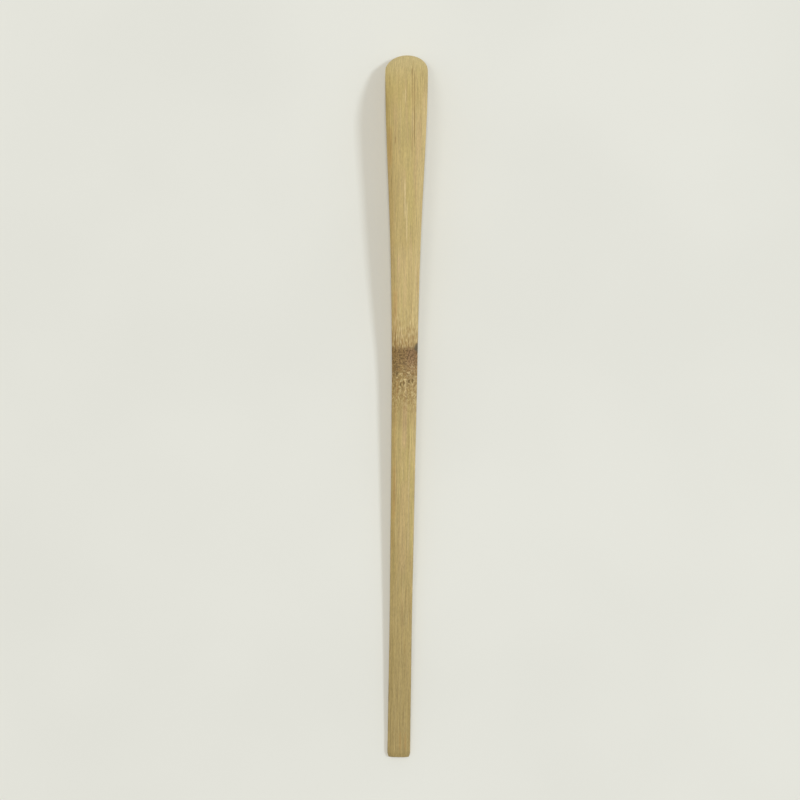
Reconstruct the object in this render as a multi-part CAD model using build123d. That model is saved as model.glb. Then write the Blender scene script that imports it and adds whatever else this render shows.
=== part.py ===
from build123d import *
from math import atan2, cos, degrees, radians, sin, sqrt
import os

# Tea scoop carved from one strip of bamboo, lying face down on its tip and its tail.
# Sizes are in millimetres and degrees. +Y runs from the tail to the tip, and +Z is up.
# The strip is carved with its handle level, and laid down at the end.

# Lengths along the skin side, which faces down
HANDLE_LENGTH = 99.0  # tail to node
NECK_LENGTH = 71.2  # node to the corner of the bend
ARCH_FROM_NODE = 31.0  # node to the middle of the neck's arch
HEAD_LENGTH = 14.2  # corner of the bend to the tip

# Bends
NODE_ANGLE = 5.1  # lift of the neck from the handle
NODE_BACK_RADIUS = 150.0  # eases the small bend of the back at the node
LEAN_ANGLE = 0.5  # sideways lean of the neck, to the left of the handle
ARCH_ANGLE = 4.7  # turn of the neck in its arch, back towards the handle's slope
ARCH_RADIUS = 300.0  # on the skin side
BEND_ANGLE = 48.0  # turn of the head from the neck
BEND_RADIUS = 19.0  # on the skin side

# Widths of the strip, seen from above, and where they are measured
TAIL_WIDTH = 5.9
WAIST_WIDTH = 5.75
WAIST_FROM_TAIL = 37.0
NODE_WIDTH = 6.43
NECK_WIDTH = 8.75
NECK_FROM_NODE = 43.0
SHOULDER_WIDTH = 10.5
SHOULDER_FROM_NODE = 61.0
HEAD_WIDTH = 11.0
TIP_ROUND = 5.8  # length of the rounded tip along the head

# Thicknesses of the strip
TAIL_THICKNESS = 1.8
NODE_THICKNESS = 2.1
ARCH_THICKNESS = 1.9
BEND_THICKNESS = 1.6
TIP_THICKNESS = 0.9

# Skin side: the round of the culm, the ridge of the node and the powder groove
SKIN_RADIUS = 40.0
RIDGE_HEIGHT = 0.3
RIDGE_LENGTH = 6.0
RIDGE_RADIUS = 8.0
GROOVE_RADIUS = 6.0
GROOVE_DEPTH = 0.5
GROOVE_ON_NECK = 26.0  # from the corner of the bend to where the groove runs out
GROOVE_TO_TIP = 3.0  # from where the groove runs out to the tip

# Shaved edges
EDGE_BEVEL = 0.7
TAIL_BEVEL_LENGTH = 1.2
TAIL_BEVEL_DEPTH = 0.36

# Room around the strip for the tools that carve it
OVERRUN = 4.0

# Upward part of a face's normal, by which backs and upright walls are told apart
BACK_NORMAL = 0.5
WALL_NORMAL = 0.01


def along(angle):
    """Direction in the side view, at an angle above +Y."""
    return Vector(0, cos(radians(angle)), sin(radians(angle)))


def across(angle):
    """Direction from the skin to the back, square to along(angle)."""
    return along(angle + 90)


# Corners of the skin line in the side view
ARCHED_ANGLE = NODE_ANGLE - ARCH_ANGLE
HEAD_ANGLE = ARCHED_ANGLE - BEND_ANGLE
TAIL = Vector(0, 0, 0)
NODE = TAIL + along(0) * HANDLE_LENGTH
ARCH = NODE + along(NODE_ANGLE) * ARCH_FROM_NODE
BEND = ARCH + along(ARCHED_ANGLE) * (NECK_LENGTH - ARCH_FROM_NODE)
TIP = BEND + along(HEAD_ANGLE) * HEAD_LENGTH
REACH = HANDLE_LENGTH + NECK_LENGTH + HEAD_LENGTH + OVERRUN
BLANK_WIDTH = 2 * HEAD_WIDTH
BLANK_THICKNESS = 2 * max(TAIL_THICKNESS, NODE_THICKNESS, ARCH_THICKNESS, BEND_THICKNESS, TIP_THICKNESS)


def split_blank():
    """Length of culm wall with the round skin below, bent along the skin line, with the node's ridge."""
    half_ridge = RIDGE_LENGTH / 2
    skin_line = FilletPolyline(
        TAIL - along(0) * OVERRUN,
        NODE - along(0) * half_ridge,
        NODE - across(NODE_ANGLE / 2) * RIDGE_HEIGHT,
        NODE + along(NODE_ANGLE) * half_ridge,
        ARCH,
        BEND,
        TIP + along(HEAD_ANGLE) * OVERRUN,
        radius=[RIDGE_RADIUS, RIDGE_RADIUS, RIDGE_RADIUS, ARCH_RADIUS, BEND_RADIUS],
    )
    half_width = BLANK_WIDTH / 2
    rise = SKIN_RADIUS - sqrt(SKIN_RADIUS**2 - half_width**2)
    skin = ThreePointArc((-half_width, rise), (0, 0), (half_width, rise))
    walls = Polyline(
        (half_width, rise),
        (half_width, rise + BLANK_THICKNESS),
        (-half_width, rise + BLANK_THICKNESS),
        (-half_width, rise),
    )
    section = Plane.XZ.offset(OVERRUN) * make_face(skin + walls)
    return sweep(section, path=skin_line)


def leaned(x, y):
    """Point of the plan, turned sideways about the node where it lies past it."""
    if y <= HANDLE_LENGTH:
        return Vector(x, y)
    return Vector(0, HANDLE_LENGTH) + Vector(x, y - HANDLE_LENGTH).rotate(Axis.Z, LEAN_ANGLE)


def plan_prism():
    """Outline seen from above: the curved long sides, and the round tip that the head's slope shortens."""
    tip_depth = TIP_ROUND * cos(radians(HEAD_ANGLE))
    tip_base = TIP.Y - tip_depth
    stations = [
        (-OVERRUN, TAIL_WIDTH),
        (WAIST_FROM_TAIL, WAIST_WIDTH),
        (HANDLE_LENGTH, NODE_WIDTH),
        (HANDLE_LENGTH + NECK_FROM_NODE, NECK_WIDTH),
        (HANDLE_LENGTH + SHOULDER_FROM_NODE, SHOULDER_WIDTH),
        (tip_base, HEAD_WIDTH),
    ]
    ahead = Vector(0, 1).rotate(Axis.Z, LEAN_ANGLE)
    right = Spline(*[leaned(w / 2, y) for y, w in stations], tangents=[(0, 1), ahead])
    left = Spline(*[leaned(-w / 2, y) for y, w in stations], tangents=[(0, 1), ahead])
    tip = EllipticalCenterArc(
        leaned(0, tip_base), HEAD_WIDTH / 2, tip_depth, 0, arc_size=180, rotation=LEAN_ANGLE
    )
    outline = make_face([right, tip, left, Line(left @ 0, right @ 0)])
    return Pos(0, 0, -REACH) * extrude(outline, 2 * REACH)


def above_back():
    """Everything above the shaved back, which follows the skin at the strip's thickness."""
    tail_back = TAIL + across(0) * TAIL_THICKNESS
    node_back = NODE + across(NODE_ANGLE / 2) * NODE_THICKNESS
    arch_back = ARCH + across(NODE_ANGLE - ARCH_ANGLE / 2) * ARCH_THICKNESS
    half_turn = BEND_ANGLE / 2
    bend_back = BEND + across(ARCHED_ANGLE - half_turn) * (BEND_THICKNESS / cos(radians(half_turn)))
    tip_back = TIP + across(HEAD_ANGLE) * TIP_THICKNESS
    start = tail_back + (tail_back - node_back).normalized() * 2 * OVERRUN
    end = tip_back + (tip_back - bend_back).normalized() * 2 * OVERRUN
    back_line = FilletPolyline(
        start,
        node_back,
        arch_back,
        bend_back,
        end,
        radius=[NODE_BACK_RADIUS, ARCH_RADIUS + ARCH_THICKNESS, BEND_RADIUS + BEND_THICKNESS],
    )
    lid = Polyline(end, (0, end.Y, REACH), (0, start.Y, REACH), start)
    return Pos(-BLANK_WIDTH, 0, 0) * extrude(make_face(back_line + lid), 2 * BLANK_WIDTH, dir=(1, 0, 0))


def bevel_back_edges(block):
    """Shaves the long edges of the back, all the way round the tip."""
    faces = block.faces()
    back = faces.filter_by(lambda face: face.normal_at().Z > BACK_NORMAL)
    upright = faces.filter_by(lambda face: abs(face.normal_at().Z) < WALL_NORMAL)
    walls = upright.filter_by(lambda face: face.center().Y > TAIL.Y)
    wall_edges = walls.edges()
    return chamfer([edge for edge in back.edges() if edge in wall_edges], EDGE_BEVEL)


def tail_envelope():
    """Space ahead of the square cut of the tail, with slanting sides and top that bevel its edges."""
    slope = TAIL_BEVEL_DEPTH / TAIL_BEVEL_LENGTH
    spread = BLANK_WIDTH / slope
    side = TAIL_WIDTH / 2 - TAIL_BEVEL_DEPTH
    wide = side + BLANK_WIDTH
    top = TAIL_THICKNESS - TAIL_BEVEL_DEPTH
    plan = Polyline(
        (-side, 0),
        (side, 0),
        (wide, spread),
        (wide, REACH),
        (-wide, REACH),
        (-wide, spread),
        close=True,
    )
    profile = Polyline(
        (0, -REACH),
        (0, top),
        (spread, top + BLANK_WIDTH),
        (REACH, REACH),
        (REACH, -REACH),
        close=True,
    )
    plan_space = extrude(make_face(plan), REACH, both=True)
    return plan_space & extrude(Plane.YZ * make_face(profile), wide, both=True)


def corner_cut(turn):
    """How far a fillet of radius 1 stays clear of the corner that it rounds."""
    return 1 / cos(radians(turn / 2)) - 1


def powder_groove():
    """Shallow groove along the skin side of the head, running out on the neck and short of the tip."""
    offset = GROOVE_RADIUS - GROOVE_DEPTH
    half_turn = BEND_ANGLE / 2
    neck_end = BEND - along(ARCHED_ANGLE) * GROOVE_ON_NECK - across(ARCHED_ANGLE) * GROOVE_RADIUS
    corner = BEND - across(ARCHED_ANGLE - half_turn) * (offset / cos(radians(half_turn)))
    tip_end = TIP - along(HEAD_ANGLE) * GROOVE_TO_TIP - across(HEAD_ANGLE) * GROOVE_RADIUS
    neck_run = (neck_end - corner).normalized()
    tip_run = (tip_end - corner).normalized()
    route_turn = 180 - neck_run.get_angle(tip_run)
    route = FilletPolyline(
        neck_end + neck_run * OVERRUN,
        corner,
        tip_end + tip_run * OVERRUN,
        radius=(BEND_RADIUS - offset) * corner_cut(BEND_ANGLE) / corner_cut(route_turn),
    )
    tool = sweep(Plane(route @ 0, z_dir=route % 0) * Circle(GROOVE_RADIUS), path=route)
    return tool.rotate(Axis(NODE, (0, 0, 1)), LEAN_ANGLE)


def laid_down(strip):
    """Turns the strip until its tip and tail are level, and sets it on the ground about the origin."""
    resting = strip.rotate(Axis.X, -degrees(atan2(TIP.Z, TIP.Y)))
    box = resting.bounding_box()
    return Pos(-box.center().X, -box.center().Y, -box.min.Z) * resting


def bamboo_scoop():
    """The whole scoop as one solid."""
    plan = plan_prism()
    strip = plan & split_blank()
    strip &= bevel_back_edges(plan - above_back())
    strip &= tail_envelope()
    strip -= powder_groove()
    return laid_down(strip)


os.makedirs("parts", exist_ok=True)
scoop = bamboo_scoop()
export_step(scoop, "parts/bamboo_scoop.step")
print("bamboo_scoop", scoop.bounding_box())
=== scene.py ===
import math
from collections import namedtuple

import bmesh
import bpy
import numpy as np
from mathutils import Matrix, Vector


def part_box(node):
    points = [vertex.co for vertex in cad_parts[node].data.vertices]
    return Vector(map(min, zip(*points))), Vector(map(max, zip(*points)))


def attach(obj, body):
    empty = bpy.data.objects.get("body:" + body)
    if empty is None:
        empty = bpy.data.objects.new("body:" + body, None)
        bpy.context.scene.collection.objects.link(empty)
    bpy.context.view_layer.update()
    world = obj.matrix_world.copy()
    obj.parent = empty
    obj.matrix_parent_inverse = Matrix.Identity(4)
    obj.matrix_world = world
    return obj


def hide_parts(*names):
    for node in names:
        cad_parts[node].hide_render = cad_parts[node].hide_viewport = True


# Bamboo tea scoop, lying face down on a pale table and seen from straight above.
# Lengths are in metres and angles in degrees. +Y runs from the tail to the tip, and +Z is up.
# The strip is shaped with its handle level, as it was carved, and then laid down.

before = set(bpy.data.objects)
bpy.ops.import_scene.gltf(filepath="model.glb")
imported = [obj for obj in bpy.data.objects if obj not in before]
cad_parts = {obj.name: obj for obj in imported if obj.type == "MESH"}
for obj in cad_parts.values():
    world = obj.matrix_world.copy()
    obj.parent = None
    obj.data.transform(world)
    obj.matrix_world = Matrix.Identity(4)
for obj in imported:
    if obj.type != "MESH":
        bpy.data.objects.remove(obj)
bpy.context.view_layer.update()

# Lengths along the skin side, which faces down
HANDLE_LENGTH = 0.0990  # tail to node
NECK_LENGTH = 0.0712  # node to the corner of the bend
ARCH_FROM_NODE = 0.0310  # node to the middle of the neck's arch
HEAD_LENGTH = 0.0142  # corner of the bend to the tip
OVERRUN = 0.0040  # how far the side lines run past both ends

# Bends
NODE_ANGLE = 5.1  # lift of the neck from the handle
NODE_RADIUS = 0.1500  # eases the small bend at the node
LEAN_ANGLE = 0.5  # sideways lean of the neck, to the left of the handle
ARCH_ANGLE = 4.7  # turn of the neck in its arch, back towards the handle's slope
ARCH_RADIUS = 0.3000  # on the skin side
BEND_ANGLE = 48.0  # turn of the head from the neck
BEND_RADIUS = 0.0190  # on the skin side

# Widths of the strip, seen from above, and where they are measured
TAIL_WIDTH = 0.0059
WAIST_WIDTH = 0.00575
WAIST_FROM_TAIL = 0.0370
GRIP_WIDTH = 0.00612
GRIP_FROM_TAIL = 0.0680
NODE_WIDTH = 0.00650
NECK_WIDTH = 0.00855
NECK_FROM_NODE = 0.0430
SHOULDER_WIDTH = 0.01014
SHOULDER_FROM_NODE = 0.0610
HEAD_WIDTH = 0.0109
TIP_ROUND = 0.0066  # length of the rounded tip along the head
TIP_SKEW = 0.00025  # how far the tip's round leans to the right

# Thicknesses of the strip
TAIL_THICKNESS = 0.0018
NODE_THICKNESS = 0.0021
ARCH_THICKNESS = 0.0019
BEND_THICKNESS = 0.0016
TIP_THICKNESS = 0.0009

# Skin side: the round of the culm, the two rings of the node and the powder groove
SKIN_RADIUS = 0.0400
RING_HEIGHT = 0.00030
RING_LENGTH = 0.0016
SCAR_HEIGHT = 0.00016
SCAR_LENGTH = 0.0005
SCAR_FROM_RING = 0.0027
GROOVE_WIDTH = 0.0050
GROOVE_DEPTH = 0.0005
GROOVE_FROM_NODE = 0.0440  # node to where the groove begins
GROOVE_FADE = 0.0150  # from there to its full depth
GROOVE_TO_TIP = 0.0015  # from where the groove has run out to the tip

# Shaved edges: the bevel of the back at the handle and at the head, and the tail's own bevels
HANDLE_BEVEL = (0.00105, 0.00048)  # run over the back, drop down the side
HEAD_BEVEL = (0.00110, 0.00044)
TIP_BEVEL_RUN = 0.00060
BEVEL_SOFTNESS = 0.35  # corner radius, as a share of the bevel
EDGE_REACH = 1.5  # how far the rows of an edge reach from the corner cut off, in bevel sizes
SKIN_EDGE = 0.00018  # rounding of the edges on the skin side
TAIL_BEVEL_LENGTH = 0.0012
TAIL_BEVEL_DEPTH = 0.00036
TAIL_SOFT = 0.00012  # rounding of the edges of the square cut
SOFT_BLEND = 0.00004  # how softly two shaved faces meet
EDGE_WAVE = 0.00005  # unevenness of the knife along the long edges
KNIFE_WAVES = [(0.0087, 0.0), (0.0053, 1.0)]  # length of one radian of each wave, and its phase

# Shaved back: a slight crown, knife facets and what is left of the swelling at the node
CROWN = 0.00016
FACET_DEPTH = 0.000018
FACET_WIDTH = 0.0017
FACET_DRIFT = 0.0310  # length of one radian of the facets' sway
FACET_SWAY = 2.0  # in radians of the facets' wave
SWELLING_HEIGHT = 0.00010
SWELLING_LENGTH = 0.0030

# Fineness of the mesh
TAIL_STEPS = 6
BODY_STEPS = 560
TIP_STEPS = 36
CORNER_STEPS = 5
MIDDLE_COLUMNS = 27
WALL_ROWS = 3
ARC_STEPS = 64
MERGE_DISTANCE = 1e-7

MM = 1000  # millimetres in a metre, for the coordinates that the material reads

# Table and light. A lamp's level is its share of the light on the table, which is white in all.
FLOOR_SIZE = 4.0
ROOM_LEVEL = 0.37
WINDOW_LEVEL = 0.22
COOL_LIGHT = np.array([0.94, 1.03, 1.14])
WARM_LIGHT = (1 - WINDOW_LEVEL * COOL_LIGHT) / (1 - WINDOW_LEVEL)
LAMPS = {
    "window": dict(azimuth=9, elevation=55.4, distance=3.6, size=0.60, level=WINDOW_LEVEL, tint=COOL_LIGHT),
    "far_window": dict(azimuth=180, elevation=73, distance=3.6, size=1.0, level=0.09, tint=WARM_LIGHT),
    "ceiling": dict(azimuth=90, elevation=78, distance=4.4, size=0.48, level=0.32, tint=WARM_LIGHT),
}

# Camera, straight above
CAMERA_HEIGHT = 0.600
CAMERA_OFFSET = (-0.000396, 0.001553)
CAMERA_ROLL = 0.88
SENSOR_WIDTH = 36.0  # mm, the unit of Blender's lenses
VIEW_WIDTH = 0.2054  # width of the view at the table


def direction(angle):
    """Direction in the side view, along and up, at an angle above the handle."""
    return np.array([math.cos(math.radians(angle)), math.sin(math.radians(angle))])


def upright(angle):
    """Direction from the skin to the back, square to direction(angle)."""
    return direction(angle + 90)


def rounded_line(corners, radii, steps):
    """Points of a line through the corners, with an arc in place of each inner corner."""
    points = [corners[0]]
    for before, corner, after, radius in zip(corners, corners[1:], corners[2:], radii):
        enter = (corner - before) / np.linalg.norm(corner - before)
        leave = (after - corner) / np.linalg.norm(after - corner)
        turn = math.atan2(enter[0] * leave[1] - enter[1] * leave[0], enter @ leave)
        start = corner - enter * radius * math.tan(abs(turn) / 2)
        inward = np.array([-enter[1], enter[0]]) * math.copysign(radius, turn)
        for angle in np.linspace(0, turn, steps):
            c, s = math.cos(angle), math.sin(angle)
            points.append(start + inward - np.array([[c, -s], [s, c]]) @ inward)
    points.append(corners[-1])
    return np.array(points)


def smooth_through(places, values, at):
    """Smooth cubic curve through the values, level at both ends."""
    gaps = np.diff(places)
    rates = np.diff(values) / gaps
    system = np.eye(len(places))
    target = np.zeros(len(places))
    for k in range(1, len(places) - 1):
        system[k, k - 1 : k + 2] = gaps[k], 2 * (gaps[k - 1] + gaps[k]), gaps[k - 1]
        target[k] = 3 * (gaps[k] * rates[k - 1] + gaps[k - 1] * rates[k])
    slopes = np.linalg.solve(system, target)
    k = np.clip(np.searchsorted(places, at) - 1, 0, len(gaps) - 1)
    t = (at - places[k]) / gaps[k]
    from_start = (1 + 2 * t) * values[k] + t * gaps[k] * slopes[k]
    from_end = (3 - 2 * t) * values[k + 1] - (1 - t) * gaps[k] * slopes[k + 1]
    return (1 - t) ** 2 * from_start + t**2 * from_end


def soft_least(a, b):
    """The lesser of two lengths, with a small round where they cross."""
    return -SOFT_BLEND * np.logaddexp(-a / SOFT_BLEND, -b / SOFT_BLEND)


def eased(value, low, high):
    """0 below low and 1 above high, with a smooth rise between."""
    t = np.clip((value - low) / (high - low), 0, 1)
    return t * t * (3 - 2 * t)


def hump(distance, length):
    """Rounded bump, 1 at its middle and about a length long to each side."""
    return np.exp(-((distance / length) ** 2))


# Corners of the skin line in the side view, as along and up from the tail
ARCHED_ANGLE = NODE_ANGLE - ARCH_ANGLE
HEAD_ANGLE = ARCHED_ANGLE - BEND_ANGLE
TAIL = np.zeros(2)
NODE = TAIL + direction(0) * HANDLE_LENGTH
ARCH = NODE + direction(NODE_ANGLE) * ARCH_FROM_NODE
BEND = ARCH + direction(ARCHED_ANGLE) * (NECK_LENGTH - ARCH_FROM_NODE)
TIP = BEND + direction(HEAD_ANGLE) * HEAD_LENGTH
TIP_DEPTH = TIP_ROUND * math.cos(math.radians(HEAD_ANGLE))
TIP_BASE = TIP[0] - TIP_DEPTH
TAIL_SLOPE = TAIL_BEVEL_DEPTH / TAIL_BEVEL_LENGTH


def skin_line():
    """Side view of the skin, with its bends rounded."""
    start = TAIL - direction(0) * OVERRUN
    end = TIP + direction(HEAD_ANGLE) * OVERRUN
    radii = [NODE_RADIUS, ARCH_RADIUS, BEND_RADIUS]
    return rounded_line([start, NODE, ARCH, BEND, end], radii, ARC_STEPS)


def back_line():
    """Side view of the shaved back, which follows the skin at the strip's thickness."""
    half_turn = BEND_ANGLE / 2
    bend_rise = BEND_THICKNESS / math.cos(math.radians(half_turn))
    tail_back = TAIL + upright(0) * TAIL_THICKNESS
    node_back = NODE + upright(NODE_ANGLE / 2) * NODE_THICKNESS
    arch_back = ARCH + upright(NODE_ANGLE - ARCH_ANGLE / 2) * ARCH_THICKNESS
    bend_back = BEND + upright(ARCHED_ANGLE - half_turn) * bend_rise
    tip_back = TIP + upright(HEAD_ANGLE) * TIP_THICKNESS
    start = tail_back - direction(0) * OVERRUN
    end = tip_back + direction(HEAD_ANGLE) * OVERRUN
    radii = [NODE_RADIUS, ARCH_RADIUS + ARCH_THICKNESS, BEND_RADIUS + BEND_THICKNESS]
    return rounded_line([start, node_back, arch_back, bend_back, end], radii, ARC_STEPS)


SKIN_LINE = skin_line()
BACK_LINE = back_line()
BACK_STEPS = np.linalg.norm(np.diff(BACK_LINE, axis=0), axis=1)
BACK_TRAVEL = np.concatenate([[0], np.cumsum(BACK_STEPS)]) - OVERRUN  # way along the back from the tail

# Widths in order, as (place from the tail, width)
WIDTHS = np.array(
    [
        (-OVERRUN, TAIL_WIDTH),
        (WAIST_FROM_TAIL, WAIST_WIDTH),
        (GRIP_FROM_TAIL, GRIP_WIDTH),
        (HANDLE_LENGTH, NODE_WIDTH),
        (HANDLE_LENGTH + NECK_FROM_NODE, NECK_WIDTH),
        (HANDLE_LENGTH + SHOULDER_FROM_NODE, SHOULDER_WIDTH),
        (TIP_BASE, HEAD_WIDTH),
    ]
)

# Edges seen endwise, as (inset from the side, height off the face), from the side inwards
BACK_CORNERS = np.array([(0, EDGE_REACH), (0, 1), (1, 0), (EDGE_REACH, 0)])
BACK_EDGE = rounded_line(BACK_CORNERS, [BEVEL_SOFTNESS, BEVEL_SOFTNESS], CORNER_STEPS)
UNDER_CORNERS = np.array([(0, EDGE_REACH), (0, 0), (EDGE_REACH, 0)])
UNDER_EDGE = rounded_line(UNDER_CORNERS, [1.0], 2 * CORNER_STEPS)


def tail_round(place):
    """How far the surface draws in at the rounded edges of the square cut."""
    left = np.clip(TAIL_SOFT - place, 0, TAIL_SOFT)
    return TAIL_SOFT - np.sqrt(TAIL_SOFT**2 - left**2)


def centre_line(place):
    """Sideways place of the strip's middle, which leans past the node and back a little at the tip."""
    lean = -math.tan(math.radians(LEAN_ANGLE)) * np.maximum(place - HANDLE_LENGTH, 0)
    return lean + TIP_SKEW * eased(place, TIP_BASE, TIP[0])


def side_width(place):
    """Width between the long sides at a place from the tail."""
    return smooth_through(WIDTHS[:, 0], WIDTHS[:, 1], np.minimum(place, TIP_BASE))


def half_width(place, turn):
    """Half the strip's width at a place from the tail, closing in with the turn of the round tip."""
    knife = sum(1 + np.sin(place / length + phase) for length, phase in KNIFE_WAVES)
    side = side_width(place) / 2 - EDGE_WAVE * knife / (2 * len(KNIFE_WAVES))
    tail = TAIL_WIDTH / 2 - TAIL_BEVEL_DEPTH + TAIL_SLOPE * place
    return soft_least(side, tail) * np.cos(turn) - tail_round(place)


def back_height(across, place):
    """Height of the shaved back, with its crown, knife facets and the swelling at the node."""
    line = np.interp(place, BACK_LINE[:, 0], BACK_LINE[:, 1])
    tail = TAIL_THICKNESS - TAIL_BEVEL_DEPTH + TAIL_SLOPE * place
    crown = CROWN * (across / (side_width(place) / 2)) ** 2
    sway = FACET_SWAY * np.sin(place / FACET_DRIFT)
    facets = FACET_DEPTH * np.sin(across / FACET_WIDTH * math.pi + sway)
    swelling = SWELLING_HEIGHT * hump(place - HANDLE_LENGTH, SWELLING_LENGTH)
    return soft_least(line + swelling, tail) - crown - FACET_DEPTH + facets


def skin_height(across, place):
    """Height of the skin side, with the culm's round, the node's rings and the powder groove."""
    line = np.interp(place, SKIN_LINE[:, 0], SKIN_LINE[:, 1])
    culm = SKIN_RADIUS - np.sqrt(SKIN_RADIUS**2 - across**2)
    ring = RING_HEIGHT * hump(place - HANDLE_LENGTH, RING_LENGTH)
    scar = SCAR_HEIGHT * hump(place - HANDLE_LENGTH + SCAR_FROM_RING, SCAR_LENGTH)
    start = HANDLE_LENGTH + GROOVE_FROM_NODE
    begun = eased(place, start, start + GROOVE_FADE)
    ended = eased(place, TIP_BASE, TIP[0] - GROOVE_TO_TIP)
    groove = GROOVE_DEPTH * begun * (1 - ended) * hump(across, GROOVE_WIDTH / 2)
    return line + culm - ring - scar + groove


def face_rows(profile, run, half, place, turn):
    """One face, a row for each station: in from the left edge, over the middle, out to the right edge."""
    inset = profile[:, 0] * run[:, None]
    x = half[:, None] - inset * np.cos(turn)[:, None]
    y = place[:, None] - inset * np.sin(turn)[:, None]
    middle = np.linspace(-1, 1, MIDDLE_COLUMNS + 2)[1:-1]
    across = np.hstack([-x, x[:, -1:] * middle, x[:, ::-1]])
    along = np.hstack([y, np.repeat(y[:, -1:], MIDDLE_COLUMNS, axis=1), y[:, ::-1]])
    off_face = np.concatenate([profile[:, 1], np.zeros(MIDDLE_COLUMNS), profile[::-1, 1]])
    rim = np.hstack([inset, np.repeat(inset[:, -1:], MIDDLE_COLUMNS, axis=1), inset[:, ::-1]])
    return across, along, off_face, rim


def wall_rows(start, end):
    """Rows of points from each start to its end, without both of them."""
    share = np.linspace(0, 1, WALL_ROWS + 2)[1:-1]
    return start[:, None] + share[:, None] * (end - start)[:, None]


def strip_loops():
    """Back and skin points of every station, from the tail to the tip. Each holds x, y, z and inset."""
    tail = TAIL_SOFT * (1 - np.cos(np.linspace(0, math.pi / 2, TAIL_STEPS)))
    body = np.linspace(TAIL_SOFT, TIP_BASE, BODY_STEPS)[1:]
    round_tip = np.linspace(0, math.pi / 2, TIP_STEPS)[1:]
    place = np.concatenate([tail, body, TIP_BASE + TIP_DEPTH * np.sin(round_tip)])
    turn = np.concatenate([np.zeros(tail.size + body.size), round_tip])
    half = half_width(place, turn)
    drawn_in = tail_round(place)[:, None]

    head_share = eased(place, HANDLE_LENGTH, TIP_BASE)
    side_run, drop = [a + (b - a) * head_share for a, b in zip(HANDLE_BEVEL, HEAD_BEVEL)]
    run = side_run + (TIP_BEVEL_RUN - side_run) * np.sin(turn) ** 2

    x, y, off, rim = face_rows(BACK_EDGE, run, half, place, turn)
    back = np.stack([x, y, back_height(x, y) - off * drop[:, None] - drawn_in, rim], axis=2)
    x, y, off, rim = face_rows(UNDER_EDGE, np.full(place.size, SKIN_EDGE), half, place, turn)
    skin = np.stack([x, y, skin_height(x, y) + off * SKIN_EDGE + drawn_in, rim], axis=2)
    return back, skin


def tail_grid(columns, loop_size, first_inner):
    """Point numbers over the square cut, from the back's edge down to the skin's."""
    grid = np.empty((WALL_ROWS + 2, columns), int)
    grid[0] = np.arange(columns)
    grid[-1] = np.arange(columns + WALL_ROWS, 2 * columns + WALL_ROWS)[::-1]
    grid[1:-1, -1] = np.arange(columns, columns + WALL_ROWS)
    grid[1:-1, 0] = np.arange(2 * columns + WALL_ROWS, loop_size)[::-1]
    inner = first_inner + np.arange(WALL_ROWS * (columns - 2))
    grid[1:-1, 1:-1] = inner.reshape(WALL_ROWS, columns - 2)
    return grid


def strip_surface():
    """Points of the strip as x, y, z and inset, its faces, and the point numbers over the square cut."""
    back, skin = strip_loops()
    right = wall_rows(back[:, -1], skin[:, -1])
    left = wall_rows(skin[:, 0], back[:, 0])
    loops = np.concatenate([back, right, skin[:, ::-1], left], axis=1)
    inner = wall_rows(back[0, 1:-1], skin[0, 1:-1]).swapaxes(0, 1)
    points = np.concatenate([loops.reshape(-1, 4), inner.reshape(-1, 4)])

    stations, loop_size, _ = loops.shape
    index = np.arange(stations * loop_size).reshape(stations, loop_size)
    ahead = np.roll(index, -1, axis=1)
    sides = np.stack([index[:-1], ahead[:-1], ahead[1:], index[1:]], axis=2)

    cut = tail_grid(back.shape[1], loop_size, index.size)
    end = np.stack([cut[:-1, :-1], cut[1:, :-1], cut[1:, 1:], cut[:-1, 1:]], axis=2)
    return points, np.concatenate([sides.reshape(-1, 4), end.reshape(-1, 4)]), cut


def laid_down(points):
    """Turns the strip until its tip and tail are level, and sets it in the middle of the part's box."""
    tilt = -math.atan2(TIP[1], TIP[0])
    c, s = math.cos(tilt), math.sin(tilt)
    leaned = points + np.outer(centre_line(points[:, 1]), (1, 0, 0))
    resting = leaned @ np.array([[1, 0, 0], [0, c, s], [0, -s, c]])
    low, high = np.array(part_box("bamboo_scoop"))
    shift = (low + high - resting.min(axis=0) - resting.max(axis=0)) / 2
    shift[2] = low[2] - resting[:, 2].min()
    return resting + shift


def store(mesh, name, values):
    """Keeps a number or a vector at each point of the mesh, for the material to read."""
    kind, field = ("FLOAT_VECTOR", "vector") if values.ndim == 2 else ("FLOAT", "value")
    mesh.attributes.new(name, kind, "POINT").data.foreach_set(field, values.ravel())


def scoop_mesh():
    """Closed mesh of the strip, which stores at each point what its material reads.

    grain is the place across, along and above the skin in mm, and rim the distance in from the edge in mm.
    share is the place across, from 0 at the left side to 1 at the right, and end_cut is 1 on the square cut.
    """
    rows, faces, cut = strip_surface()
    points = rows[:, :3]
    mesh = bpy.data.meshes.new("bamboo_scoop_shaped")
    mesh.from_pydata(laid_down(points).tolist(), [], faces.tolist())

    travel = np.interp(points[:, 1], BACK_LINE[:, 0], BACK_TRAVEL)
    depth = points[:, 2] - skin_height(points[:, 0], points[:, 1])
    end_cut = np.zeros(len(points))
    end_cut[cut.ravel()] = 1
    store(mesh, "grain", np.stack([points[:, 0], travel, depth], axis=1) * MM)
    store(mesh, "rim", rows[:, 3] * MM)
    store(mesh, "share", points[:, 0] / side_width(points[:, 1]) + 0.5)
    store(mesh, "end_cut", end_cut)

    shaped = bmesh.new()
    shaped.from_mesh(mesh)
    bmesh.ops.remove_doubles(shaped, verts=shaped.verts, dist=MERGE_DISTANCE)
    bmesh.ops.recalc_face_normals(shaped, faces=shaped.faces)
    shaped.to_mesh(mesh)
    shaped.free()
    mesh.shade_smooth()
    return mesh


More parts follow.
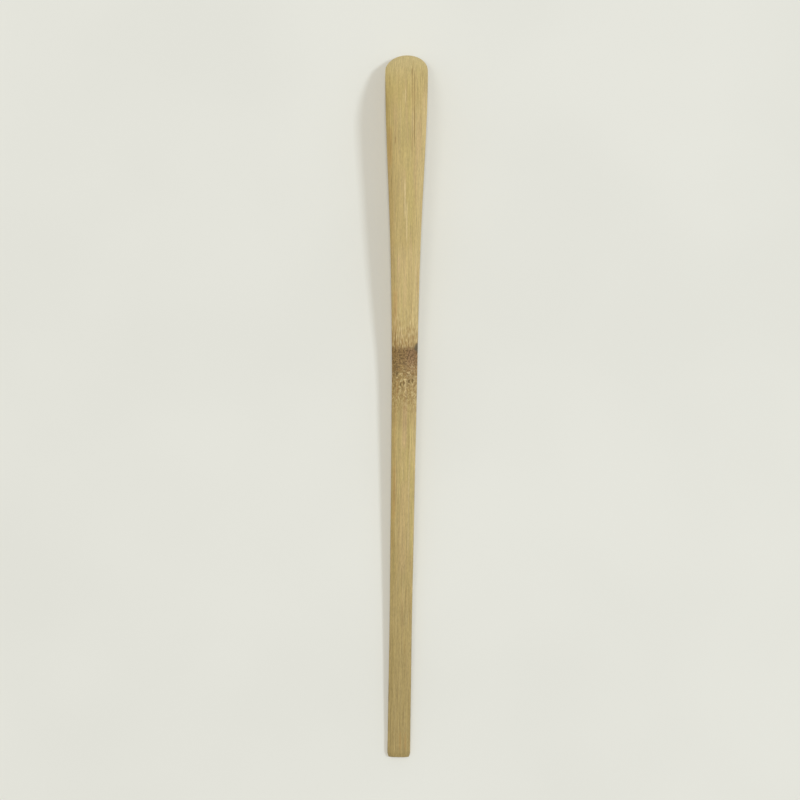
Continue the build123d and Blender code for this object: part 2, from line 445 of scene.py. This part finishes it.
def tone(red, green, blue):
    """Colour from its screen values, 0 to 255, by the sRGB curve."""
    screen = np.array([red, green, blue]) / 255
    linear = np.where(screen <= 0.04045, screen / 12.92, ((screen + 0.055) / 1.055) ** 2.4)
    return (*linear, 1.0)


class Graph:
    """Adds nodes to one node tree. Each call returns the socket that carries its result."""

    def __init__(self, tree):
        self.tree = tree
        tree.nodes.clear()

    def add(self, kind, inputs, output=0, **settings):
        """One node, with each input set to a value or linked to a socket."""
        node = self.tree.nodes.new(kind)
        for name, value in settings.items():
            setattr(node, name, value)
        for key, value in inputs.items():
            if isinstance(value, bpy.types.NodeSocket):
                self.tree.links.new(value, node.inputs[key])
            else:
                node.inputs[key].default_value = value
        return None if output is None else node.outputs[output]

    def math(self, operation, a, b=0.0):
        """One operation on one or two numbers."""
        return self.add("ShaderNodeMath", {0: a, 1: b}, operation=operation)

    def product(self, *values):
        """All the values multiplied."""
        result = values[0]
        for value in values[1:]:
            result = self.math("MULTIPLY", result, value)
        return result

    def total(self, *values):
        """All the values added."""
        result = values[0]
        for value in values[1:]:
            result = self.math("ADD", result, value)
        return result

    def off(self, value, middle):
        """How far a value is from a middle, to either side."""
        return self.math("ABSOLUTE", self.math("SUBTRACT", value, middle))

    def rise(self, value, low, high):
        """0 below low and 1 above high. Low may be above high for a fall."""
        ends = {"Value": value, "From Min": low, "From Max": high}
        return self.add("ShaderNodeMapRange", ends, interpolation_type="SMOOTHSTEP")

    def stretch(self, value, top, foot):
        """1 on a stretch that fades out at its top and at its foot."""
        return self.product(self.rise(value, *top), self.rise(value, *foot))

    def swing(self, value, amount):
        """A noise value as a swing about 0."""
        return self.math("MULTIPLY", self.math("SUBTRACT", value, 0.5), amount)

    # In a mix node, inputs 2 and 3 are numbers, and inputs 6 and 7 and output 2 are colours

    def between(self, share, low, high):
        """Number between two numbers."""
        return self.add("ShaderNodeMix", {0: share, 2: low, 3: high})

    def blend(self, colour, other, *shares):
        """Colour moved towards another by the product of the shares."""
        inputs = {0: self.product(*shares), 6: colour, 7: other}
        return self.add("ShaderNodeMix", inputs, 2, data_type="RGBA")

    def noise(self, place, grain):
        """Noise whose grains have about the given size, in the place's own units."""
        scaled = {0: place, 1: [1 / size for size in grain.size], 2: (grain.shift, grain.shift, grain.shift)}
        vector = self.add("ShaderNodeVectorMath", scaled, operation="MULTIPLY_ADD")
        inputs = {"Vector": vector, "Scale": 1.0, "Detail": grain.detail, "Distortion": grain.distortion}
        return self.add("ShaderNodeTexNoise", inputs)

    def attribute(self, name, output="Fac"):
        """Value of the mesh's own attribute."""
        return self.add("ShaderNodeAttribute", {}, output, attribute_name=name)

    def parts(self, vector):
        """The three parts of a vector."""
        return [self.add("ShaderNodeSeparateXYZ", {0: vector}, axis) for axis in range(3)]

    def surface(self, inputs):
        """Principled surface as the material's result."""
        shader = self.add("ShaderNodeBsdfPrincipled", inputs)
        self.add("ShaderNodeOutputMaterial", {"Surface": shader}, None)


# Bamboo colours
STRAW = tone(188, 166, 108)
OLIVE = tone(183, 166, 101)
ROSE_TAN = tone(191, 163, 115)
PALE = tone(210, 189, 138)
AMBER = tone(172, 134, 74)
RUST = tone(190, 150, 92)
# Painted shade: the handle darkens towards the tail, where less light reaches it
TAIL_SHADE = tone(159, 139, 88)
# Painted light: the head, sloping down to the tip, is paler where more light falls on it
TIP_LIT_STRAW = tone(204, 185, 130)
# Painted shade: a darker, browner left side, turned away from the window lamp
LEFT_SHADE_TAN = tone(158, 131, 74)
# Painted shade along the left rim
LEFT_RIM_SHADE = tone(142, 126, 84)
DARK_FIBRE = tone(138, 107, 60)
SMOKED = tone(152, 122, 74)
KNOT_DARK = tone(92, 68, 34)
KNOT_PALE = tone(150, 122, 74)
KNOT_ROSE = tone(152, 120, 82)
EYE = tone(104, 82, 40)
GREY_STAIN = tone(86, 78, 60)
SKIN_GOLD = tone(190, 160, 98)
SKIN_BROWN = tone(150, 116, 66)

# Grain of a noise: its size along three axes, and what sets its pattern apart from the others
Grain = namedtuple("Grain", "size shift detail distortion", defaults=(2.0, 0.0))

# Table colours and finish, and its faint clouds, in metres
FLOOR_PALE = tone(228, 228, 219)
FLOOR_DULL = tone(225, 225, 216)
FLOOR_ROUGHNESS = 0.8
CLOUD = Grain((0.06, 0.06, 0.06), 5.0)

# Grains of the bamboo, in mm across, along and through the strip
BROAD = Grain((1.6, 40, 1.6), 11.0)
WARM = Grain((0.9, 16, 1.0), 23.0)
RIBBON = Grain((0.65, 20, 0.8), 31.0)
FIBRE = Grain((0.15, 6.5, 0.3), 47.0, detail=3.0)
HAIR = Grain((0.16, 0.9, 0.2), 59.0)
DARK_LINE = Grain((0.15, 15, 0.4), 71.0, detail=1.0)
PALE_LINE = Grain((0.15, 13, 0.4), 83.0, detail=1.0)
SINGED = Grain((0.22, 4, 0.5), 53.0)
RAGGED = Grain((0.32, 3, 0.5), 97.0)
FLECK = Grain((0.20, 1.6, 0.4), 41.0, detail=1.0)
MOTTLE = Grain((0.27, 0.40, 0.4), 67.0, detail=3.0)
CURL = Grain((0.36, 0.85, 0.5), 61.0, distortion=1.0)
SWIRL = Grain((0.95, 1.25, 1.0), 3.0)
BUNDLES_PER_MM = 2.6

# Where a tone comes in along the strip, from none to full, in mm from the tail
# Painted light, paling the sloping head towards the tip
TIP_LIGHT_REACH = (168.0, 185.0)
# Painted shade, darkening the handle towards the tail
TAIL_SHADE_REACH = (118.0, -8.0)
SIDES_SHOW = (178.0, 167.0)
NECK_BEGINS = (88.0, 120.0)
# Painted light along the lower handle's left edge
LEFT_EDGE_LIGHT_REACH = (60.0, 35.0)
# Painted light on the right side, facing the window lamp
RIGHT_LIGHT_REACH = (25.0, 80.0)
FIBRES_EASE = (75.0, 125.0)
TIP_CALMS = (172.0, 184.0)

# Where a tone comes in across the strip, from 0 at its left side to 1 at its right
LEFT_SIDE = (0.42, 0.02)
LEFT_HALF = (0.60, 0.40)
LEFT_EDGE = (0.22, 0.02)
RIGHT_SIDE = (0.72, 0.98)

# Where the node's tones come in, in mm past the upper edge of the dark figure that it leaves on the back
FIGURE_EDGE = 104.5  # from the tail
SMOKE_TOP = (7.5, 0.5)
SMOKE_FOOT = (-8.0, -1.0)
BRUSH_TOP = (14.0, 2.0)
BRUSH_FOOT = (-1.0, 1.0)
BROWN_TOP = (1.2, -0.4)
BROWN_FOOT = (-21.0, -1.0)
CURLS_TOP = (-2.0, -6.0)
CURLS_FOOT = (-19.0, -11.0)
TANGLE_TOP = (-2.0, -5.0)
TANGLE_FOOT = (-14.0, -9.0)

# Other places where a tone comes in, in mm
RIM_BAND = (0.42, 0.05)  # in from the edge
ROSE_SIDE = (-1.0, 2.0)  # across the node
SKIN_LAYER = (0.30, 0.04)  # above the skin
SMUDGE_REACH = (7.0, 0.5)  # from the scar on the skin
SCAR_REACH = (0.9, 0.2)

# How strongly each tone shows, with the handle's or the weaker share first where there are two
OLIVE_SHARE = 0.55
ROSE_SHARE = 0.50
# Painted shade on the left side and along its rim
LEFT_SHADE_SHARES = (0.12, 0.34)
LEFT_RIM_SHADE_SHARES = (0.00, 0.22)
# Painted light on the lower handle's left edge
LEFT_EDGE_LIGHT_SHARE = 0.16
# Painted light on the right side
RIGHT_LIGHT_SHARES = (0.05, 0.38)
DARK_LINE_SHARE = 0.32
PALE_LINE_SHARE = 0.34
SMOKE_SHARES = (0.38, 0.95)
BRUSH_PALE_SHARE = 0.78
BRUSH_DARK_SHARE = 0.68
CURL_DARK_SHARE = 0.75
CURL_PALE_SHARE = 0.65
SPOT_SHARE = 0.85
SMUDGE_SHARE = 0.35
SCAR_SHARE = 0.70
BUNDLE_SHARE = 0.60

# How far noise moves the marks, the node's edge and its fibres, in mm
MARK_WANDER = 0.5
FIGURE_WANDER = 0.6
RAGGED_WANDER = 2.4
TANGLE_WANDER = 2.4

# How much the fibres change the light on the bamboo, and by how much more or less on handle and tip
RIBBON_SWING = 0.22
FIBRE_SWING = 0.80
HAIR_SWING = 0.52
HANDLE_VIVID = 1.2
NECK_VIVID = 1.0
TIP_VIVID = 0.7

# Finish of the bamboo, on the shaved back and on the skin
BACK_ROUGHNESS = 0.62
SKIN_ROUGHNESS = 0.36
FIBRE_ROUGHNESS = 0.15
SPECULAR = 0.3
BACK_RELIEF = 0.55
SKIN_RELIEF = 0.15
RELIEF_DEPTH = 0.00004
HAIR_RELIEF = 0.3

# Single marks on the back: across at both ends, from and to in mm, half width in mm, colour, strength
Mark = namedtuple("Mark", "first last start end half colour strength")
ALL_ACROSS = 9.00  # half width of a mark that tones the whole strip, in mm
MARK_FADE = 3.0  # longest fade of a mark's ends, in mm
MARK_CORE = 0.2  # full part of a mark's half width
MARKS = [
    Mark(2.05, 2.05, 155.0, 177.5, 0.14, DARK_FIBRE, 0.65),
    Mark(1.55, 1.55, 153.0, 183.0, 0.13, DARK_FIBRE, 0.50),
    Mark(1.75, 1.75, 158.5, 165.5, 0.18, PALE, 0.70),
    Mark(-0.25, -0.25, 166.0, 171.5, 0.18, PALE, 0.75),
    Mark(-0.80, -0.80, 166.5, 171.0, 0.16, PALE, 0.45),
    Mark(1.45, 1.45, 180.0, 184.5, 0.18, PALE, 0.50),
    Mark(-2.72, -2.72, 156.0, 158.6, 0.20, DARK_FIBRE, 0.50),
    Mark(-1.88, -1.88, 164.0, 174.5, 0.20, OLIVE, 0.60),
    Mark(3.60, 3.60, 160.5, 170.5, 0.16, DARK_FIBRE, 0.25),
    Mark(-4.00, -4.00, 149.5, 162.0, 0.80, AMBER, 0.40),
    Mark(-0.20, -0.20, 136.5, 149.0, 0.15, PALE, 1.00),
    Mark(0.33, 0.33, 130.5, 143.0, 0.15, PALE, 1.00),
    Mark(-1.60, -1.60, 123.5, 129.0, 0.55, ROSE_TAN, 0.70),
    Mark(-2.45, -2.45, 106.0, 121.0, 0.70, RUST, 0.60),
    Mark(3.05, 3.05, 117.5, 128.0, 0.25, AMBER, 0.40),
    Mark(1.00, 1.00, 105.0, 132.0, ALL_ACROSS, PALE, 0.16),
    Mark(-2.25, -2.25, 52.0, 92.0, 0.70, AMBER, 0.18),
    Mark(2.30, 2.25, 50.0, 78.0, 0.60, OLIVE, 0.60),
    Mark(0.20, 0.20, 78.0, 92.0, 0.90, ROSE_TAN, 0.80),
    Mark(-2.20, -2.20, 60.0, 76.0, 0.50, AMBER, 0.35),
    Mark(0.30, 0.30, 46.0, 72.0, 1.40, ROSE_TAN, 0.40),
    Mark(1.50, 1.45, 52.0, 80.0, 0.15, PALE, 0.50),
    Mark(1.28, 1.28, 76.0, 84.0, 0.16, DARK_FIBRE, 0.35),
    Mark(1.70, 1.70, 74.0, 83.0, 0.20, PALE, 0.40),
    Mark(2.45, 2.45, 37.0, 53.0, 0.25, AMBER, 0.22),
    Mark(1.35, 1.35, 36.0, 45.0, 0.14, DARK_FIBRE, 0.50),
    Mark(1.10, 1.10, 25.5, 31.0, 0.14, DARK_FIBRE, 0.50),
    Mark(0.35, 0.35, 0.8, 7.5, 0.45, AMBER, 0.30),
    Mark(1.62, 1.62, 0.8, 7.0, 0.40, AMBER, 0.35),
]

# Marks laid over the node's figure: slanting and straight fibres, and broad tones
NODE_MARKS = [
    Mark(-1.95, -1.80, 91.2, 97.6, 0.36, AMBER, 0.40),
    Mark(-1.80, -1.60, 92.6, 95.4, 0.16, DARK_FIBRE, 0.60),
    Mark(1.65, 1.10, 93.2, 95.6, 0.18, DARK_FIBRE, 0.70),
    Mark(0.95, 0.65, 92.8, 95.2, 0.16, DARK_FIBRE, 0.60),
    Mark(2.65, 2.05, 93.2, 95.6, 0.18, DARK_FIBRE, 0.55),
    Mark(0.35, 0.20, 92.4, 97.2, 0.26, PALE, 0.55),
    Mark(-1.20, -0.75, 92.4, 95.0, 0.18, PALE, 0.40),
    Mark(0.00, 0.00, 83.0, 96.5, ALL_ACROSS, DARK_FIBRE, 0.17),
    Mark(0.00, 0.00, 101.8, 106.0, ALL_ACROSS, KNOT_DARK, 0.14),
    Mark(1.90, 1.90, 90.2, 92.2, 0.14, DARK_FIBRE, 0.50),
    Mark(2.35, 2.35, 90.2, 92.0, 0.14, DARK_FIBRE, 0.45),
    Mark(-0.50, -0.55, 92.3, 93.3, 0.22, DARK_FIBRE, 0.55),
    Mark(-2.40, -2.10, 97.2, 101.6, 0.80, KNOT_DARK, 0.40),
]

# Small dark eyes below the node, and the grey stain on its right edge: across, along, half sizes in mm
Spot = namedtuple("Spot", "across along half_across half_along")
SPOT_CORE = 0.15  # full part of a spot, as a share of its area
EYES = [
    Spot(-0.16, 95.8, 0.30, 0.75),
    Spot(-0.95, 95.6, 0.28, 0.70),
    Spot(1.13, 96.4, 0.36, 0.60),
    Spot(2.02, 96.5, 0.32, 0.75),
    Spot(-1.95, 98.4, 0.45, 0.60),
]
STAIN = Spot(3.15, 105.0, 0.95, 1.40)


def spot_share(g, across, along, spot):
    """Round soft spot with its own half sizes, 1 in the middle."""
    dx = g.math("DIVIDE", g.math("SUBTRACT", across, spot.across), spot.half_across)
    dy = g.math("DIVIDE", g.math("SUBTRACT", along, spot.along), spot.half_along)
    far = g.total(g.product(dx, dx), g.product(dy, dy))
    return g.rise(far, 1.0, SPOT_CORE)


def mark_share(g, across, along, mark):
    """Mark with soft sides and ends, at its full strength along the middle."""
    length = mark.end - mark.start
    slant = (mark.last - mark.first) / length
    middle = g.total(mark.first, g.product(g.math("SUBTRACT", along, mark.start), slant))
    side = g.rise(g.off(across, middle), mark.half, mark.half * MARK_CORE)
    fade = min(MARK_FADE, length / 3)
    ends = g.stretch(along, (mark.start, mark.start + fade), (mark.end, mark.end - fade))
    return g.product(side, ends, mark.strength)


class Strip:
    """Where a point lies on the strip, in mm, and the noises that its layers share."""

    def __init__(self, g):
        self.grain = g.attribute("grain", "Vector")
        self.rim = g.attribute("rim")
        self.share = g.attribute("share")
        self.end_cut = g.attribute("end_cut")
        self.across, self.along, self.depth = g.parts(self.grain)
        self.past_node = g.math("SUBTRACT", self.along, FIGURE_EDGE)
        self.ragged = g.total(self.past_node, g.swing(g.noise(self.grain, RAGGED), RAGGED_WANDER))
        self.flow = self.fibre_flow(g)
        self.ribbons = g.noise(self.flow, RIBBON)
        self.fibres = g.noise(self.flow, FIBRE)
        self.hairs = g.noise(self.flow, HAIR)
        self.mottle = g.noise(self.grain, MOTTLE)
        self.skin = g.rise(self.depth, *SKIN_LAYER)

    def fibre_flow(self, g):
        """Place from which fibres are read: straight along the strip, but tangled below the node."""
        tangle = g.stretch(self.past_node, TANGLE_TOP, TANGLE_FOOT)
        aside = g.product(g.swing(g.noise(self.grain, SWIRL), TANGLE_WANDER), tangle)
        shift = g.add("ShaderNodeCombineXYZ", {0: aside})
        return g.add("ShaderNodeVectorMath", {0: self.grain, 1: shift}, operation="ADD")


def plain_bamboo(g, s):
    """Straw colour that drifts to olive and rose, darker towards the tail with painted shade, paler at the
    tip with painted light.
    """
    olive = g.rise(g.noise(s.grain, BROAD), 0.40, 0.64)
    colour = g.blend(STRAW, OLIVE, olive, OLIVE_SHARE)
    rose = g.rise(g.noise(s.grain, WARM), 0.48, 0.68)
    colour = g.blend(colour, ROSE_TAN, rose, ROSE_SHARE)
    # Painted light pales the sloping head towards the tip
    colour = g.blend(colour, TIP_LIT_STRAW, g.rise(s.along, *TIP_LIGHT_REACH))
    # Painted shade darkens the handle towards the tail
    return g.blend(colour, TAIL_SHADE, g.rise(s.along, *TAIL_SHADE_REACH))


def painted_side_light(g, s, colour):
    """Painted shade that makes the left side browner with a grey rim, painted light that makes the lower
    handle's left edge paler, and painted light that makes the right side paler.
    """
    before_tip = g.rise(s.along, *SIDES_SHOW)
    on_neck = g.rise(s.along, *NECK_BEGINS)
    tan = g.between(on_neck, *LEFT_SHADE_SHARES)
    # Painted shade: browner left side and a grey left rim, turned away from the window lamp
    colour = g.blend(colour, LEFT_SHADE_TAN, g.rise(s.share, *LEFT_SIDE), tan, before_tip)
    left_rim_shade = g.product(g.rise(s.rim, *RIM_BAND), before_tip, g.rise(s.share, *LEFT_HALF))
    colour = g.blend(colour, LEFT_RIM_SHADE, left_rim_shade, g.between(on_neck, *LEFT_RIM_SHADE_SHARES))
    # Painted light makes the lower handle's left edge paler
    left_edge_light = g.product(g.rise(s.share, *LEFT_EDGE), g.rise(s.along, *LEFT_EDGE_LIGHT_REACH))
    colour = g.blend(colour, PALE, left_edge_light, LEFT_EDGE_LIGHT_SHARE)
    # Painted light makes the right side, facing the window lamp, paler
    right_light = g.between(g.rise(s.along, *RIGHT_LIGHT_REACH), *RIGHT_LIGHT_SHARES)
    return g.blend(colour, PALE, g.rise(s.share, *RIGHT_SIDE), before_tip, right_light)


def fibre_marks(g, s, colour):
    """Dark and pale lines along the fibres, and the single marks of this strip."""
    dark = g.rise(g.noise(s.flow, DARK_LINE), 0.60, 0.72)
    colour = g.blend(colour, DARK_FIBRE, dark, DARK_LINE_SHARE)
    pale = g.rise(g.noise(s.flow, PALE_LINE), 0.60, 0.73)
    colour = g.blend(colour, PALE, pale, PALE_LINE_SHARE)
    across = g.total(s.across, g.swing(s.ribbons, MARK_WANDER))
    for mark in MARKS:
        colour = g.blend(colour, mark.colour, mark_share(g, across, s.along, mark))
    return colour


def node_smoke(g, s, colour):
    """Smoked fibres above the node, brushed pale and dark."""
    singed = g.rise(g.noise(s.grain, SINGED), 0.62, 0.40)
    smoke = g.stretch(s.past_node, SMOKE_TOP, SMOKE_FOOT)
    colour = g.blend(colour, SMOKED, smoke, g.between(singed, *SMOKE_SHARES))
    flecks = g.noise(s.grain, FLECK)
    brushed = g.stretch(s.past_node, BRUSH_TOP, BRUSH_FOOT)
    colour = g.blend(colour, PALE, brushed, g.rise(flecks, 0.52, 0.64), BRUSH_PALE_SHARE)
    return g.blend(colour, SMOKED, brushed, g.rise(flecks, 0.48, 0.36), BRUSH_DARK_SHARE)


def node_brown(g, s, colour):
    """Mottled brown below the node's ragged edge, rosier on the right, that fades out down the handle."""
    fade = g.rise(s.past_node, *BROWN_FOOT)
    tan = g.blend(KNOT_PALE, KNOT_ROSE, g.rise(s.across, *ROSE_SIDE))
    mottled = g.blend(KNOT_DARK, tan, g.rise(s.mottle, 0.37, 0.57))
    return g.blend(colour, mottled, g.rise(s.ragged, *BROWN_TOP), fade, fade)


def node_fibres(g, s, colour):
    """Curled fibres below the node, its single marks and eyes, and the stain on its edge."""
    curled = g.product(g.rise(s.ragged, *CURLS_TOP), g.rise(s.past_node, *CURLS_FOOT))
    curls = g.noise(s.flow, CURL)
    colour = g.blend(colour, DARK_FIBRE, curled, g.rise(curls, 0.50, 0.38), CURL_DARK_SHARE)
    colour = g.blend(colour, PALE, curled, g.rise(curls, 0.54, 0.66), CURL_PALE_SHARE)
    across = g.total(s.across, g.swing(s.mottle, FIGURE_WANDER))
    for mark in NODE_MARKS:
        colour = g.blend(colour, mark.colour, mark_share(g, across, s.along, mark))
    for eye in EYES:
        colour = g.blend(colour, EYE, spot_share(g, across, s.along, eye), SPOT_SHARE)
    return g.blend(colour, GREY_STAIN, spot_share(g, s.across, s.along, STAIN), SPOT_SHARE)


def skin_side(g, s, colour):
    """Golden skin below, with the brown scar of the node and a smudge beside it."""
    off_scar = g.off(s.along, (HANDLE_LENGTH - SCAR_FROM_RING) * MM)
    smudge = g.product(g.rise(off_scar, *SMUDGE_REACH), g.rise(s.fibres, 0.65, 0.35), SMUDGE_SHARE)
    scar = g.product(g.rise(off_scar, *SCAR_REACH), SCAR_SHARE)
    golden = g.blend(SKIN_GOLD, STRAW, g.rise(s.ribbons, 0.35, 0.65))
    golden = g.blend(golden, SKIN_BROWN, g.math("MAXIMUM", smudge, scar))
    return g.blend(colour, golden, s.skin)


def end_grain(g, s, colour):
    """Dark bundles of fibres in the square cut of the tail."""
    cells = g.add("ShaderNodeTexVoronoi", {"Vector": s.grain, "Scale": BUNDLES_PER_MM})
    return g.blend(colour, DARK_FIBRE, s.end_cut, g.rise(cells, 0.32, 0.16), BUNDLE_SHARE)


def fibre_light(g, s):
    """Light and dark of the fibres as a factor about 1, livelier on the handle and calmer at the tip."""
    body_vivid = g.between(g.rise(s.along, *FIBRES_EASE), HANDLE_VIVID, NECK_VIVID)
    vivid = g.between(g.rise(s.along, *TIP_CALMS), body_vivid, TIP_VIVID)
    ribbons = g.swing(s.ribbons, RIBBON_SWING)
    fibres = g.swing(s.fibres, FIBRE_SWING)
    hairs = g.swing(s.hairs, HAIR_SWING)
    return g.total(1.0, g.product(g.total(ribbons, fibres, hairs), vivid))


def fibre_relief(g, s):
    """Fine relief of the fibres, weaker on the skin."""
    height = g.total(s.fibres, g.product(s.hairs, HAIR_RELIEF))
    strength = g.between(s.skin, BACK_RELIEF, SKIN_RELIEF)
    return g.add("ShaderNodeBump", {"Strength": strength, "Distance": RELIEF_DEPTH, "Height": height})


def bamboo_material():
    """Shaved bamboo: lengthwise fibres, the dark node with its tangled fibres, glossier skin below."""
    material = bpy.data.materials.new("bamboo")
    material.use_nodes = True
    g = Graph(material.node_tree)
    s = Strip(g)
    colour = plain_bamboo(g, s)
    for layer in (painted_side_light, fibre_marks, node_smoke, node_brown, node_fibres, skin_side, end_grain):
        colour = layer(g, s, colour)
    lit = g.add("ShaderNodeVectorMath", {0: colour, "Scale": fibre_light(g, s)}, operation="SCALE")
    roughness = g.between(s.skin, BACK_ROUGHNESS, SKIN_ROUGHNESS)
    finish = {
        "Base Color": lit,
        "Roughness": g.total(roughness, g.swing(s.fibres, FIBRE_ROUGHNESS)),
        "Normal": fibre_relief(g, s),
        "Specular IOR Level": SPECULAR,
    }
    g.surface(finish)
    return material


def floor_material():
    """Pale matt table top, very faintly clouded."""
    material = bpy.data.materials.new("table_top")
    material.use_nodes = True
    g = Graph(material.node_tree)
    place = g.add("ShaderNodeTexCoord", {}, "Object")
    colour = g.blend(FLOOR_DULL, FLOOR_PALE, g.rise(g.noise(place, CLOUD), 0.3, 0.7))
    g.surface({"Base Color": colour, "Roughness": FLOOR_ROUGHNESS})
    return material


def add_scoop():
    """The scoop itself, in place of the plain solid."""
    scoop = bpy.data.objects.new("bamboo_scoop_shaped", scoop_mesh())
    bpy.context.scene.collection.objects.link(scoop)
    scoop.data.materials.append(bamboo_material())
    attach(scoop, "root")
    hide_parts("bamboo_scoop")


def add_floor():
    """Table top under the scoop."""
    mesh = bpy.data.meshes.new("table_top")
    half = FLOOR_SIZE / 2
    corners = [(-half, -half, 0), (half, -half, 0), (half, half, 0), (-half, half, 0)]
    mesh.from_pydata(corners, [], [(0, 1, 2, 3)])
    floor = bpy.data.objects.new("table_top", mesh)
    bpy.context.scene.collection.objects.link(floor)
    mesh.materials.append(floor_material())


def add_lamp(name, azimuth, elevation, distance, size, level, tint):
    """Square soft lamp aimed at the scoop. Level is the light that it gives a level white table."""
    a, e = math.radians(azimuth), math.radians(elevation)
    towards = Vector((math.cos(a) * math.cos(e), math.sin(a) * math.cos(e), math.sin(e)))
    lamp = bpy.data.lights.new(name, "AREA")
    lamp.size = size
    lamp.color = tint
    lamp.energy = level * math.pi**2 * distance**2 / math.sin(e)
    holder = bpy.data.objects.new(name, lamp)
    holder.location = towards * distance
    holder.rotation_euler = towards.to_track_quat("Z", "Y").to_euler()
    bpy.context.scene.collection.objects.link(holder)


def add_world():
    """Even light from all round, with a pale backdrop where the camera sees past the table."""
    world = bpy.data.worlds.new("room")
    world.use_nodes = True
    bpy.context.scene.world = world
    g = Graph(world.node_tree)
    path = g.tree.nodes.new("ShaderNodeLightPath")
    seen = g.math("MAXIMUM", path.outputs["Is Camera Ray"], path.outputs["Is Glossy Ray"])
    seen = g.math("MAXIMUM", seen, path.outputs["Is Transmission Ray"])
    room = (*(ROOM_LEVEL * WARM_LIGHT), 1.0)
    shader = g.add("ShaderNodeBackground", {"Color": g.blend(room, FLOOR_PALE, seen)})
    g.add("ShaderNodeOutputWorld", {"Surface": shader}, None)


def add_camera():
    """Camera straight above, turned by the small slant of the photograph."""
    lens = bpy.data.cameras.new("camera")
    lens.sensor_width = SENSOR_WIDTH
    lens.lens = SENSOR_WIDTH * CAMERA_HEIGHT / VIEW_WIDTH
    camera = bpy.data.objects.new("camera", lens)
    camera.location = (*CAMERA_OFFSET, CAMERA_HEIGHT)
    camera.rotation_euler = (0, 0, math.radians(CAMERA_ROLL))
    bpy.context.scene.collection.objects.link(camera)
    bpy.context.scene.camera = camera


bpy.context.scene.view_settings.view_transform = "Standard"
add_scoop()
add_floor()
for name, lamp in LAMPS.items():
    add_lamp(name, **lamp)
add_world()
add_camera()
